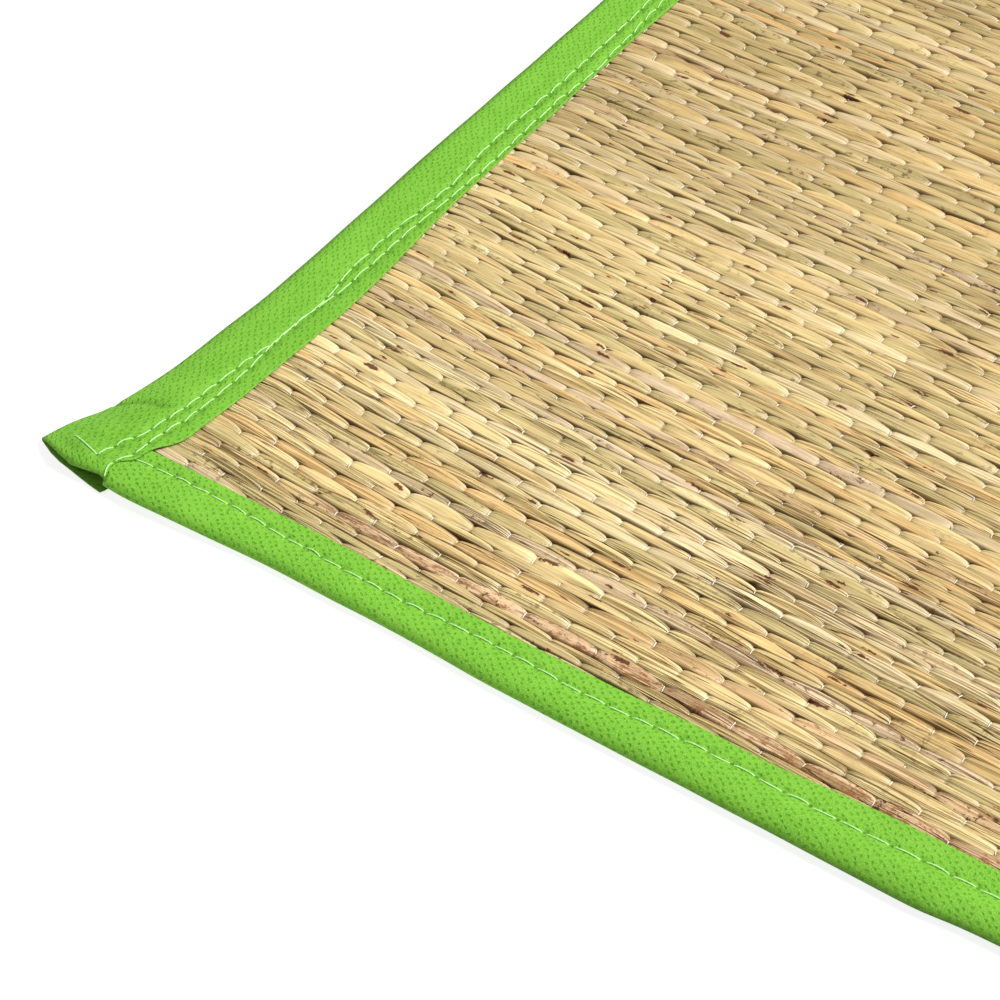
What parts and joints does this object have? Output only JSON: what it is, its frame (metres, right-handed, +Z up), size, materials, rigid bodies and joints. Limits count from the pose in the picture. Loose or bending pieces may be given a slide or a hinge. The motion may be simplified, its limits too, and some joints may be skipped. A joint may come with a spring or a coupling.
{
  "type": "woven grass mat",
  "caption": "Flat square mat of woven flattened grass straws, bound on all sides with folded green non-woven tape that flares open at the corners.",
  "frame": {"origin": "middle of the mat's outline, on the floor that it lies on", "axes": "+Z up; the straws run along X; -Y is the edge nearest the viewer and -X is the side whose near corner flares out most"},
  "size_m": [0.6274, 0.6026, 0.0076],
  "materials": {
    "straw": "woven dried grass straws on white cotton threads, slight natural sheen",
    "binding_tape": "lime green non-woven tape with a fine embossed dot grid, semi-matt"
  },
  "bodies": {
    "root": {"grass_panel": "straw", "binding_near": "binding_tape", "binding_far": "binding_tape", "binding_left": "binding_tape", "binding_right": "binding_tape"}
  },
  "joints": []
}
